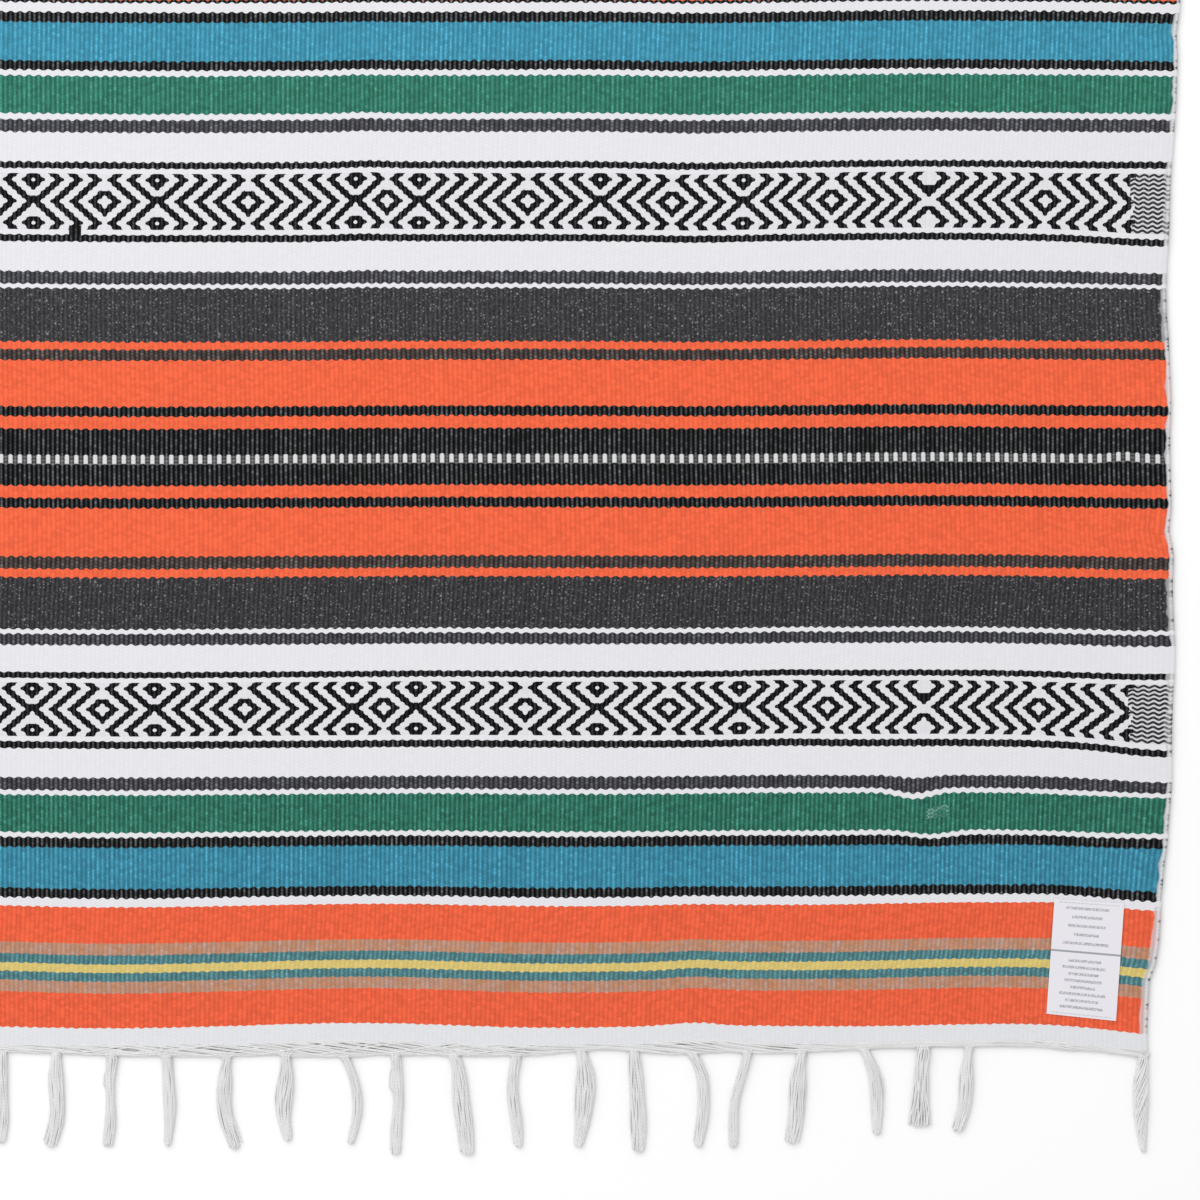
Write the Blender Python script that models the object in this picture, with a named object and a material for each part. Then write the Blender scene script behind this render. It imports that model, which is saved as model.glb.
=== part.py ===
"""Mexican serape, laid flat: one weft-faced woven panel, its knotted fringe at both ends and a sewn label.

Metres. +X runs across the width (the weft), +Y along the length (the warp), +Z up from the floor.
The origin is on the floor, in the middle of the serape. "Near" is the end at -Y.
"""
import math

import bmesh
import bpy
from mathutils import Matrix, Vector

MM = 0.001

# Driving sizes
WIDTH = 1.270                  # between the two selvages, at the widest
WOVEN_LENGTH = 1.930           # first pick to last pick
CLOTH_WALL = 2.2 * MM          # ribbed blanket cloth
SEAM_GAP = 0.3 * MM            # between pieces that touch
HEADING_DEPTH = 6.0 * MM       # warp ends gathered sideways between the last pick and the knots
HEADING_HEIGHT = 3.2 * MM
TASSEL_HEIGHT = 4.6 * MM       # a bundle of warp ends lying on the floor
LABEL_SIZE = (41.5 * MM, 70.0 * MM)
LABEL_WALL = 1.0 * MM

# How finely the panel is divided
CLOTH_COLUMNS = 28
CLOTH_ROWS = 70
END_CROWDING = 0.5             # rows lie this much closer at the ends, where the outline bends most
LABEL_COLUMNS = 3
LABEL_ROWS = 5

# How far each selvage is drawn in from the widest line: (from the near end, drawn in), mm
RIGHT_SELVAGE = (
    (0, 19.0), (42, 16.6), (60, 13.0), (86, 10.7), (205, 7.1), (247, 6.0), (292, 3.0), (360, 5.4),
    (443, 8.3), (503, 5.4), (562, 2.4), (616, 0.0), (800, 3.0), (965, 5.0), (1150, 1.5),
    (1330, 4.5), (1500, 1.0), (1650, 4.0), (1800, 9.0), (1880, 13.0), (1930, 16.0),
)
LEFT_SELVAGE = (
    (0, 13.0), (70, 9.0), (250, 4.0), (430, 6.0), (640, 1.0), (900, 3.5), (1150, 5.0),
    (1400, 0.0), (1600, 4.0), (1800, 8.0), (1885, 11.0), (1930, 15.0),
)

# Where the end of the cloth is pulled out past a straight line:
# (from the right selvage, reach, pulled out), mm.
# The pull fades with this power of the distance left to the other end.
END_PULL_FADE = 6
NEAR_END_PULLS = (
    (0, 34, 6.0), (290, 13, -2.0), (375, 45, 1.4), (487, 45, -1.6), (640, 55, 1.6),
    (850, 60, -1.4), (1010, 50, 1.5), (1150, 50, -1.2), (1270, 40, 4.0),
)
FAR_END_PULLS = (
    (0, 40, 3.0), (210, 50, -1.5), (420, 60, 1.3), (700, 55, -1.8), (930, 60, 1.5),
    (1090, 40, -1.3), (1270, 35, 5.0),
)

# Low swells where the cloth lifts off the floor:
# (from the right selvage, from the near end, reach across, reach along, height), mm
SWELLS = (
    (158, 150, 26, 34, 0.8), (300, 470, 90, 200, 0.5), (480, 320, 80, 240, 0.6),
    (700, 200, 120, 90, 0.5), (180, 560, 60, 130, 0.6), (880, 620, 110, 150, 0.7),
    (420, 900, 130, 120, 0.7), (1010, 1050, 90, 160, 0.6), (620, 1240, 140, 110, 0.7),
    (230, 1320, 80, 170, 0.6), (930, 1560, 120, 130, 0.7), (500, 1680, 110, 90, 0.6),
)

# The near fringe:
# (knot from the right selvage, drift half way, drift at the tip, reach past the cloth, width), mm
TASSELS = (
    (21.4, -1.8, -0.6, 63.7, 8.9), (125.5, -2.4, -7.7, 51.8, 7.7), (152.9, -2.4, -3.0, 48.8, 10.0),
    (188.0, 7.7, 7.1, 53.6, 7.7), (224.9, -3.0, -7.7, 58.9, 8.3), (257.6, -8.3, -8.9, 61.3, 5.4),
    (289.8, 7.1, 2.4, 60.7, 6.5), (324.9, 1.8, 1.8, 63.7, 8.9), (356.4, 3.0, -1.8, 60.7, 10.7),
    (395.1, -3.0, 1.2, 60.7, 7.7), (432.0, 5.4, 7.7, 65.5, 10.1), (466.5, 0.6, -0.6, 65.5, 6.5),
    (496.8, 8.3, 3.6, 58.9, 5.4), (531.9, -1.8, 0.6, 57.1, 9.5), (567.0, -2.4, 4.8, 61.9, 8.3),
    (602.7, 0.9, 0.6, 60.1, 7.4), (635.5, 0.0, -2.4, 60.7, 6.0), (668.2, 0.0, -4.2, 60.7, 7.7),
    (700.9, 1.8, 0.0, 58.3, 6.0),
)
LEFT_CORNER_TASSEL = (1250.0, 1.6, 0.8, 62.0, 8.6)
FAR_EXTRA_TASSEL = (72.0, 2.0, 4.5, 58.0, 8.0)
REPEAT_PITCH = 34.0            # spacing of the tassels that repeat the ones above on the left half, mm
TASSEL_STEPS = 4               # lengths between a tassel's knot and its tip
TASSEL_TIP = 0.82              # width at the tip, as a share of the width above it

# Label: its middle from the right selvage and from the near end, mm, and its turn seen from above
LABEL_MIDDLE = (56.8, 51.0)
LABEL_TURN = math.radians(-4.0)


def between_stations(stations, at):
    """Height of a smooth curve through (place, value) stations."""
    if at <= stations[0][0]:
        return stations[0][1]
    for (start, low), (end, high) in zip(stations, stations[1:]):
        if at <= end:
            part = (at - start) / (end - start)
            ease = part * part * (3.0 - 2.0 * part)
            return low + (high - low) * ease
    return stations[-1][1]


def bump_shape(distance, reach):
    """1 at the middle of a soft hump, fading out over its reach."""
    return math.exp(-0.5 * (distance / reach) ** 2)


def end_pull(from_right_mm, near):
    """How far the end of the cloth is pulled out past its straight line, in metres."""
    pulls = NEAR_END_PULLS if near else FAR_END_PULLS
    return MM * sum(out * bump_shape(from_right_mm - place, reach) for place, reach, out in pulls)


def cloth_point(across, along):
    """Plan position of the point that is 0..1 across from the left and 0..1 along from the near end."""
    from_near_mm = along * WOVEN_LENGTH / MM
    left = -WIDTH / 2 + MM * between_stations(LEFT_SELVAGE, from_near_mm)
    right = WIDTH / 2 - MM * between_stations(RIGHT_SELVAGE, from_near_mm)
    x = left + (right - left) * across
    from_right_mm = (WIDTH / 2 - x) / MM
    near_edge = -WOVEN_LENGTH / 2 - end_pull(from_right_mm, True)
    far_edge = WOVEN_LENGTH / 2 + end_pull(from_right_mm, False)
    y = -WOVEN_LENGTH / 2 + WOVEN_LENGTH * along
    near_share = (1.0 - along) ** END_PULL_FADE
    far_share = along ** END_PULL_FADE
    y += (near_edge + WOVEN_LENGTH / 2) * near_share + (far_edge - WOVEN_LENGTH / 2) * far_share
    return x, y


def cloth_top(x, y):
    """Height of the cloth's upper face over the floor."""
    from_right_mm = (WIDTH / 2 - x) / MM
    from_near_mm = (WOVEN_LENGTH / 2 + y) / MM
    lift = 0.0
    for across, along, reach_across, reach_along, height in SWELLS:
        across_share = bump_shape(from_right_mm - across, reach_across)
        lift += height * across_share * bump_shape(from_near_mm - along, reach_along)
    return CLOTH_WALL + MM * lift


def thicken(mesh, top_of, underside):
    """Turn a flat bmesh sheet into a closed wall, from the underside to top_of(x, y)."""
    sheet_verts = list(mesh.verts)
    grown = bmesh.ops.extrude_face_region(mesh, geom=list(mesh.faces), use_keep_orig=True)
    for vert in grown["geom"]:
        if isinstance(vert, bmesh.types.BMVert):
            vert.co.z = top_of(vert.co.x, vert.co.y)
    for vert in sheet_verts:
        vert.co.z = underside(vert.co.x, vert.co.y)
    bmesh.ops.recalc_face_normals(mesh, faces=list(mesh.faces))


def finish_object(name, mesh, material, collection):
    """Make a named object with its material from a finished bmesh."""
    data = bpy.data.meshes.new(name)
    mesh.to_mesh(data)
    mesh.free()
    data.materials.append(material)
    piece = bpy.data.objects.new(name, data)
    collection.objects.link(piece)
    return piece


def plain_material(name, colour, roughness):
    """Principled material with one colour."""
    material = bpy.data.materials.new(name)
    material.use_nodes = True
    shader = material.node_tree.nodes["Principled BSDF"]
    shader.inputs["Base Color"].default_value = (*colour, 1.0)
    shader.inputs["Roughness"].default_value = roughness
    shader.inputs["Metallic"].default_value = 0.0
    return material


def woven_cloth(collection):
    """The panel: woven in one piece, drawn in at the selvages, flat underneath."""
    mesh = bmesh.new()
    bmesh.ops.create_grid(mesh, x_segments=CLOTH_COLUMNS, y_segments=CLOTH_ROWS, size=0.5)
    for vert in mesh.verts:
        across = vert.co.x + 0.5
        even = vert.co.y + 0.5
        along = even - END_CROWDING * math.sin(math.tau * even) / math.tau
        vert.co.x, vert.co.y = cloth_point(across, along)
    thicken(mesh, cloth_top, lambda x, y: 0.0)
    material = plain_material("woven_cloth", (0.55, 0.22, 0.13), 0.9)
    return finish_object("woven_cloth", mesh, material, collection)


def tassel_row(near):
    """All tassels of one end, from the right: (knot, drift half way, drift at the tip, reach, width), mm."""
    turn = 1.0 if near else -1.0
    row = [(knot, turn * half_way, turn * tip, reach, width) for knot, half_way, tip, reach, width in TASSELS]
    if not near:
        row.insert(1, FAR_EXTRA_TASSEL)
    knot = TASSELS[-1][0] + REPEAT_PITCH
    for _knot, half_way, tip, reach, width in reversed(TASSELS):
        if knot < LEFT_CORNER_TASSEL[0] - REPEAT_PITCH:
            row.append((knot, tip, half_way, reach, width))
            knot += REPEAT_PITCH
    row.append(LEFT_CORNER_TASSEL)
    return row


def fringe(name, near, collection):
    """Warp ends gathered sideways along the cloth's end, then hanging out in knotted tassels."""
    side = -1.0 if near else 1.0
    along = 0.0 if near else 1.0
    cloth_end = [cloth_point(column / CLOTH_COLUMNS, along) for column in range(CLOTH_COLUMNS + 1)]

    def end_line(x):
        for (left_x, left_y), (right_x, right_y) in zip(cloth_end, cloth_end[1:]):
            if x <= right_x or right_x == cloth_end[-1][0]:
                return left_y + (right_y - left_y) * (x - left_x) / (right_x - left_x) + side * SEAM_GAP

    # Edges of the strip's columns: the cloth's own columns, and both sides of each knot
    knot_spans = []
    for knot, _half_way, _tip, _reach, width in tassel_row(near):
        middle = WIDTH / 2 - knot * MM
        knot_spans.append((middle - width * MM / 2, middle + width * MM / 2))
    edges = [x for span in knot_spans for x in span]
    for x, _y in cloth_end:
        if all(x < left_side - MM or x > right_side + MM for left_side, right_side in knot_spans):
            edges.append(x)
    edges.sort()

    mesh = bmesh.new()
    inner = [mesh.verts.new((x, end_line(x), 0.0)) for x in edges]
    strip_edges = [mesh.edges.new(pair) for pair in zip(inner, inner[1:])]
    grown = bmesh.ops.extrude_edge_only(mesh, edges=strip_edges)["geom"]
    for vert in grown:
        if isinstance(vert, bmesh.types.BMVert):
            vert.co.y += side * HEADING_DEPTH
    mesh.edges.ensure_lookup_table()
    outer_edges = [edge for edge in grown if isinstance(edge, bmesh.types.BMEdge) and edge.is_boundary]

    for (left_side, right_side), tassel in zip(knot_spans, tassel_row(near)):
        _knot, half_way, tip, reach, width = tassel
        middle = (right_side + left_side) / 2
        root = min(outer_edges, key=lambda edge: abs((edge.verts[0].co.x + edge.verts[1].co.x) / 2 - middle))
        root_y = end_line(middle) + side * HEADING_DEPTH
        tip_y = side * (WOVEN_LENGTH / 2 + reach * MM)
        edge = root
        for step in range(1, TASSEL_STEPS + 1):
            part = step / TASSEL_STEPS
            # A parabola through the knot, the drift half way and the drift at the tip
            drift = 4.0 * half_way * part * (1.0 - part) + tip * part * (2.0 * part - 1.0)
            half_width = width * MM / 2 * (TASSEL_TIP if step == TASSEL_STEPS else 1.0)
            level_y = root_y + (tip_y - root_y) * part
            new = bmesh.ops.extrude_edge_only(mesh, edges=[edge])["geom"]
            new_verts = [vert for vert in new if isinstance(vert, bmesh.types.BMVert)]
            new_verts.sort(key=lambda vert: vert.co.x)
            new_verts[0].co = Vector((middle + drift * MM - half_width, level_y, 0.0))
            new_verts[1].co = Vector((middle + drift * MM + half_width, level_y, 0.0))
            edge = mesh.edges.get(new_verts)

    def top(x, y):
        past_heading = side * (y - end_line(x)) - HEADING_DEPTH
        return TASSEL_HEIGHT if past_heading > SEAM_GAP else HEADING_HEIGHT

    thicken(mesh, top, lambda x, y: 0.0)
    material = plain_material(name, (0.86, 0.86, 0.87), 0.9)
    return finish_object(name, mesh, material, collection)


def care_label(collection):
    """Satin tape label stitched flat on the near right corner, made from the cloth's own upper face."""
    centre_x = WIDTH / 2 - LABEL_MIDDLE[0] * MM
    centre_y = -WOVEN_LENGTH / 2 + LABEL_MIDDLE[1] * MM
    place = Matrix.Translation((centre_x, centre_y, 0.0)) @ Matrix.Rotation(LABEL_TURN, 4, "Z")
    mesh = bmesh.new()
    bmesh.ops.create_grid(mesh, x_segments=LABEL_COLUMNS, y_segments=LABEL_ROWS, size=0.5)
    bmesh.ops.scale(mesh, vec=(LABEL_SIZE[0], LABEL_SIZE[1], 1.0), verts=mesh.verts)
    bmesh.ops.transform(mesh, matrix=place, verts=mesh.verts)
    thicken(mesh, lambda x, y: cloth_top(x, y) + SEAM_GAP + LABEL_WALL, lambda x, y: cloth_top(x, y) + SEAM_GAP)
    material = plain_material("care_label", (0.90, 0.90, 0.92), 0.45)
    return finish_object("care_label", mesh, material, collection)


for old in list(bpy.data.objects):
    bpy.data.objects.remove(old, do_unlink=True)

serape = bpy.data.collections.new("mexican_serape")
bpy.context.scene.collection.children.link(serape)
woven_cloth(serape)
fringe("fringe_near", True, serape)
fringe("fringe_far", False, serape)
care_label(serape)
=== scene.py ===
"""Mexican serape laid flat on a pale floor: the striped cloth, its knotted fringe and its sewn label."""

import functools
import math
import random

import bmesh
import bpy
import numpy as np
from mathutils import Matrix, Vector


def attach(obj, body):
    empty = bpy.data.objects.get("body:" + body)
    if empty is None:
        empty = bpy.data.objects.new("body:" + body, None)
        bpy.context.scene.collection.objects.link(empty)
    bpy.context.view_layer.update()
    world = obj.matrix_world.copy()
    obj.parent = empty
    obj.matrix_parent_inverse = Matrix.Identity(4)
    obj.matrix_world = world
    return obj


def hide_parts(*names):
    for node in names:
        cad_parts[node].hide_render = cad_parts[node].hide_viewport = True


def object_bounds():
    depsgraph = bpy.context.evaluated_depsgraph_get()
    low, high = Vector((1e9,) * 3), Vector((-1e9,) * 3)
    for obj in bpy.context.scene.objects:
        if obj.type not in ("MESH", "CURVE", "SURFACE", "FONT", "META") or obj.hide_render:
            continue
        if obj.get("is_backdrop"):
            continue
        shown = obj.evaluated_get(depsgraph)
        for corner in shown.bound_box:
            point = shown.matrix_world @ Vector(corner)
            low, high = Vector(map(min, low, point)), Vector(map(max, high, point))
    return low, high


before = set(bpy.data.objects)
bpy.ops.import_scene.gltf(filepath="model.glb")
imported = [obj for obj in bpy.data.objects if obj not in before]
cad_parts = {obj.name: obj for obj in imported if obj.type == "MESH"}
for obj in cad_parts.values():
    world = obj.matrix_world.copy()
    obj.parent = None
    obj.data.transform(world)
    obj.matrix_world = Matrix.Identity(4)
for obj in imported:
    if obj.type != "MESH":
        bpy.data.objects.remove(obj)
cad_low, cad_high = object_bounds()
MM = 0.001

# ---------------------------------------------------------------------------
# Camera, floor and light. The camera hangs straight above the near right part
# of the serape. The floor is plain and pale, and the light is broad and soft.
# ---------------------------------------------------------------------------
VIEW_CENTRE = (0.2899, -0.7002)
VIEW_WIDTH = 0.714
CAMERA_LENS = 100.0
CAMERA_SENSOR = 36.0
FLOOR_SIZE = 9.0


def srgb(code):
    """Linear colour, with full alpha, of a six-letter screen colour."""
    shades = [int(code[place:place + 2], 16) / 255.0 for place in (0, 2, 4)]
    linear = [shade / 12.92 if shade <= 0.04045 else ((shade + 0.055) / 1.055) ** 2.4 for shade in shades]
    return (*linear, 1.0)


def new_object(name, data):
    """An object at the origin, linked to the scene."""
    piece = bpy.data.objects.new(name, data)
    bpy.context.scene.collection.objects.link(piece)
    return piece


def new_material(name):
    """A node material, its tree and its Principled shader."""
    material = bpy.data.materials.new(name)
    material.use_nodes = True
    tree = material.node_tree
    return material, tree, tree.nodes["Principled BSDF"]


camera = new_object("camera", bpy.data.cameras.new("camera"))
camera.data.lens = CAMERA_LENS
camera.data.sensor_width = CAMERA_SENSOR
camera.data.clip_end = 50.0
camera.location = (*VIEW_CENTRE, VIEW_WIDTH * CAMERA_LENS / CAMERA_SENSOR)
bpy.context.scene.camera = camera

floor_mesh = bmesh.new()
bmesh.ops.create_grid(floor_mesh, x_segments=4, y_segments=4, size=FLOOR_SIZE / 2)
floor_data = bpy.data.meshes.new("floor")
floor_mesh.to_mesh(floor_data)
floor_mesh.free()
floor_material, floor_tree, floor_shader = new_material("pale_floor")
floor_shader.inputs["Base Color"].default_value = srgb("FEFEFE")
floor_shader.inputs["Roughness"].default_value = 0.9
floor_data.materials.append(floor_material)
floor = new_object("floor", floor_data)
floor.location.z = -0.0005
floor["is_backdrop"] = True


def soft_light(name, place, aim, size, power):
    """A square area light at place, turned towards aim."""
    light = bpy.data.lights.new(name, "AREA")
    light.shape = "SQUARE"
    light.size = size
    light.energy = power
    holder = new_object(name, light)
    holder.location = place
    holder.rotation_euler = (Vector(aim) - Vector(place)).to_track_quat("-Z", "Y").to_euler()


soft_light("key_light", (-1.0, 0.9, 2.6), (0.1, -0.2, 0.0), 3.6, 66.5)
world = bpy.data.worlds.new("pale_room")
world.use_nodes = True
world.node_tree.nodes["Background"].inputs["Color"].default_value = (1.0, 1.0, 1.0, 1.0)
world.node_tree.nodes["Background"].inputs["Strength"].default_value = 0.69
bpy.context.scene.world = world
bpy.context.scene.view_settings.view_transform = "Standard"

# ---------------------------------------------------------------------------
# Woven cloth. One weft-faced blanket web, cotton warp and thick acrylic weft,
# 450 ribs wide. The weft hides the warp, so each rib is a warp seen through
# the picks that bend over it. Rows of the mesh follow the picks, which waver.
# ---------------------------------------------------------------------------
WIDTH = 1.270
WOVEN_LENGTH = 1.930
CLOTH_WALL = 2.2 * MM
RIBS = 450
FIRST_RIB = -208.5             # rib 0 is the first cross of the figured band that the motif is counted from
RIB_RISE = 0.12 * MM           # crest over the cloth's mean face, and valley under it
UNDERSIDE_ROWS = 11
ROWS_PER_UNDERSIDE_ROW = 8

# Rows of the mesh from the near end: (up to this distance in mm, rows in that run)
ROW_RUNS = (
    (86.0, 8), (180.0, 15), (335.0, 11), (365.0, 6), (450.0, 6), (520.0, 8), (658.9, 10), (1271.1, 8),
    (1844.0, 8), (1930.0, 8),
)

# How far each selvage is drawn in from the widest line: (from the near end, drawn in), mm
RIGHT_SELVAGE = (
    (0, 19.0), (42, 16.6), (60, 13.0), (86, 10.7), (205, 7.1), (247, 6.0), (292, 3.0), (360, 5.4),
    (443, 8.3), (503, 5.4), (562, 2.4), (616, 0.0), (800, 3.0), (965, 5.0), (1150, 1.5), (1330, 4.5),
    (1500, 1.0), (1650, 4.0), (1800, 9.0), (1880, 13.0), (1930, 16.0),
)
LEFT_SELVAGE = (
    (0, 13.0), (70, 9.0), (250, 4.0), (430, 6.0), (640, 1.0), (900, 3.5), (1150, 5.0), (1400, 0.0),
    (1600, 4.0), (1800, 8.0), (1885, 11.0), (1930, 15.0),
)
# The right selvage's own nips, which reach only its outer warps: (from the near end, drawn in), mm
RIGHT_NIPS = (
    (0, -1.6), (14, -0.7), (30, 0.4), (48, 0.1), (58, -1.4), (90, 0.0), (104, -1.4), (124, -3.1),
    (155, -3.8), (190, -2.6), (226, -3.5), (244, -3.2), (262, -0.8), (280, 0.9), (294, 0.9), (307, 3.4),
    (326, 0.9), (364, 0.6), (385, -0.8), (422, -1.0), (446, 0.1), (478, 0.8), (520, 0.7), (548, 0.6),
    (568, -0.1), (585, 0.2), (604, 2.1), (620, 0.1), (640, 0.0), (1930, 0.0),
)
NIP_REACH = 34.0
UNDER_SHARE = 1.0 - 4.5 / 635.0   # the underside is this much narrower, so the selvages turn under

# Where the ends are pulled out of line: (from the right selvage, reach across, pulled out, fades over), mm
NEAR_END_PULLS = (
    (0, 34, 6.6, 85), (95, 45, -0.85, 50), (185, 45, 0.85, 55), (290, 13, -2.0, 55), (375, 45, 1.4, 50),
    (487, 45, -1.6, 65), (640, 55, 1.6, 80), (850, 60, -1.4, 70), (1010, 50, 1.5, 70),
    (1150, 50, -1.2, 70), (1270, 40, 4.0, 80),
)
FAR_END_PULLS = (
    (0, 40, 3.0, 80), (210, 50, -1.5, 70), (420, 60, 1.3, 70), (700, 55, -1.8, 70), (930, 60, 1.5, 70),
    (1090, 40, -1.3, 70), (1270, 35, 5.0, 80),
)

# Where the picks waver: (from the right selvage, from the near end, reach across, reach along,
# moved towards the near end), mm
PICK_PULLS = (
    (625, 500, 65, 900, 0.6), (486, 532, 13, 65, -0.8), (292, 532, 27, 101, 1.0),
    (152, 420, 48, 500, -0.95), (9, 181, 23, 14, 4.0), (12, 481, 27, 16, 3.0), (3, 620, 36, 90, 1.2),
    (157, 148, 9.5, 9.5, 3.9), (146, 128, 10.7, 8.3, 2.7), (232, 202, 21, 36, -0.9),
    (31, 349, 8.3, 5.0, -1.8), (340, 930, 90, 200, 1.4), (760, 760, 110, 260, -1.3),
    (1010, 420, 70, 180, 1.1), (1180, 1180, 60, 220, -1.5), (655, 590, 60, 45, 0.4),
    (655, 330, 60, 130, 0.35), (700, 40, 25, 60, -0.6), (345, 580, 60, 60, -0.6),
    (443, 150, 30, 160, -0.35), (530, 480, 40, 110, 0.35), (375, 75, 60, 60, 0.5),
    (262, 140, 20, 40, -0.4), (15, 255, 22, 60, 1.4), (50, 190, 22, 60, 0.8), (120, 60, 45, 50, -0.9),
    (65, 80, 22, 25, -1.2), (12, 165, 18, 18, 0.8), (12, 120, 18, 16, -0.8), (12, 545, 20, 40, -0.6),
    (51, 600, 30, 40, -0.6), (520, 1420, 100, 240, 1.5), (70, 1330, 45, 120, 1.8),
    (900, 1600, 80, 160, -1.2),
)
# Where the warps stand to one side of even spacing: (from the right selvage, moved to the right near
# the near end, and beyond the near figured band), mm
WARP_DRIFT = (
    (0, 0.0, 0.0), (30, -3.0, -0.8), (60, -3.3, -0.9), (83, -3.3, -0.6), (107, -2.7, -0.3),
    (131, -2.1, 0.0), (155, -1.5, 0.0), (178, -0.9, 0.3), (202, -0.3, 0.9), (226, 0.6, 1.5),
    (250, 0.7, 1.7), (297, 0.9, 1.5), (321, 0.3, 1.2), (345, 0.0, 0.6), (369, -0.3, -0.3),
    (393, -0.9, -0.4), (440, -1.8, -0.6), (464, -1.2, -0.3), (488, -0.3, 0.9), (512, 0.6, 1.8),
    (559, 0.3, 1.5), (583, 0.0, 1.2), (607, -0.3, 0.6), (654, -0.6, 0.0), (690, -0.2, -0.3),
    (760, 0.8, 0.6), (880, -0.8, -0.6), (1000, 0.9, 0.7), (1120, -0.5, -0.4), (1270, 0.0, 0.0),
)
DRIFT_CHANGES = (200.0, 520.0)
END_STILL = 14.0               # the pull of a pick fades out over this distance from either end, mm

# Low swells where the cloth lifts off the floor:
# (from the right selvage, from the near end, reach across, reach along, height), mm
SWELLS = (
    (158, 150, 26, 34, 0.8), (300, 470, 90, 200, 0.5), (480, 320, 80, 240, 0.6),
    (700, 200, 120, 90, 0.5), (180, 560, 60, 130, 0.6), (880, 620, 110, 150, 0.7),
    (420, 900, 130, 120, 0.7), (1010, 1050, 90, 160, 0.6), (620, 1240, 140, 110, 0.7),
    (230, 1320, 80, 170, 0.6), (930, 1560, 120, 130, 0.7), (500, 1680, 110, 90, 0.6),
)
# Creases and puckers beside them: the same columns, lower and tighter
PUCKERS = (
    (157, 140, 9, 12, 0.9), (146, 121, 12, 7, -0.5), (14, 181, 18, 9, 0.6), (16, 481, 16, 9, 0.5),
    (290, 18, 16, 26, 0.5), (486, 24, 30, 20, 0.4), (31, 352, 9, 6, 0.4), (640, 40, 40, 22, 0.4),
    (980, 60, 50, 24, 0.5), (1190, 330, 40, 60, 0.5), (700, 1000, 60, 30, 0.5),
    (330, 1560, 50, 34, 0.5),
)


def between_stations(stations, at):
    """Heights of a smooth curve through (place, value) stations, for an array of places."""
    places = np.array([station[0] for station in stations], float)
    values = np.array([station[1] for station in stations], float)
    run = np.clip(np.searchsorted(places, at, side="right") - 1, 0, len(places) - 2)
    part = np.clip((at - places[run]) / (places[run + 1] - places[run]), 0.0, 1.0)
    ease = part * part * (3.0 - 2.0 * part)
    return values[run] + (values[run + 1] - values[run]) * ease


def hump(distance, reach):
    """1 at the middle of a soft hump, fading out over its reach."""
    return np.exp(-0.5 * (distance / reach) ** 2)


def cloth_plan(across, from_near):
    """Plan position in metres of points 0..1 across from the left and from_near mm from the near end."""
    left = -WIDTH / 2 + MM * between_stations(LEFT_SELVAGE, from_near)
    right = WIDTH / 2 - MM * between_stations(RIGHT_SELVAGE, from_near)
    x = left + (right - left) * across
    from_right = (WIDTH / 2 - x) / MM
    from_far = WOVEN_LENGTH / MM - from_near
    moved = np.zeros_like(from_near)
    for place, reach, out, fade in NEAR_END_PULLS:
        moved -= out * hump(from_right - place, reach) * hump(from_near, fade)
    for place, reach, out, fade in FAR_END_PULLS:
        moved += out * hump(from_right - place, reach) * hump(from_far, fade)
    free = (1.0 - hump(from_near, END_STILL)) * (1.0 - hump(from_far, END_STILL))
    for place, along, reach_across, reach_along, nearer in PICK_PULLS:
        moved -= nearer * hump(from_right - place, reach_across) * hump(from_near - along, reach_along) * free
    beyond = np.clip((from_near - DRIFT_CHANGES[0]) / (DRIFT_CHANGES[1] - DRIFT_CHANGES[0]), 0.0, 1.0)
    near_drift = between_stations([(place, near) for place, near, _far in WARP_DRIFT], from_right)
    far_drift = between_stations([(place, far) for place, _near, far in WARP_DRIFT], from_right)
    x = x + MM * (near_drift + (far_drift - near_drift) * beyond)
    x = x - MM * between_stations(RIGHT_NIPS, from_near) * hump(from_right, NIP_REACH)
    return x, -WOVEN_LENGTH / 2 + MM * (from_near + moved)


def cloth_face(x, y):
    """Height in metres of the cloth's upper face over the floor."""
    from_right = (WIDTH / 2 - x) / MM
    from_near = (WOVEN_LENGTH / 2 + y) / MM
    lift = np.zeros_like(from_right)
    for across, along, reach_across, reach_along, height in SWELLS + PUCKERS:
        lift += height * hump(from_right - across, reach_across) * hump(from_near - along, reach_along)
    return CLOTH_WALL + MM * lift


# The figured band is a point twill: the picks step one rib to the side each row and turn back at
# these ribs. It rises and falls between them, so its height alone tells black from white.
RIBS_BETWEEN_TURNS = (15, 11, 19, 23, 7, 7, 23, 15, 15, 15, 19, 21, 25, 19)
HIDDEN_RIBS_BETWEEN_TURNS = (15, 19, 11, 7, 23, 23, 7, 15, 19, 15, 27, 19)
ODD_CROSS = 190                # the one lower turn where two crosses run together


def turning_ribs():
    """(rib, height of the twill there) for every turn, from the left selvage to the right one."""
    turns = [(0, 0)]
    for number, ribs in enumerate(RIBS_BETWEEN_TURNS):
        rib, height = turns[-1]
        turns.append((rib + ribs, height + (ribs if number % 2 == 0 else -ribs)))
    for number, ribs in enumerate(HIDDEN_RIBS_BETWEEN_TURNS):
        rib, height = turns[0]
        turns.insert(0, (rib - ribs, height + (ribs if number % 2 == 0 else -ribs)))
    return turns


def row_stations():
    """Distance of every mesh row from the near end, mm."""
    stations = [0.0]
    for end, rows in ROW_RUNS:
        start = stations[-1]
        stations += [start + (end - start) * (row + 1) / rows for row in range(rows)]
    return np.array(stations)


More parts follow.
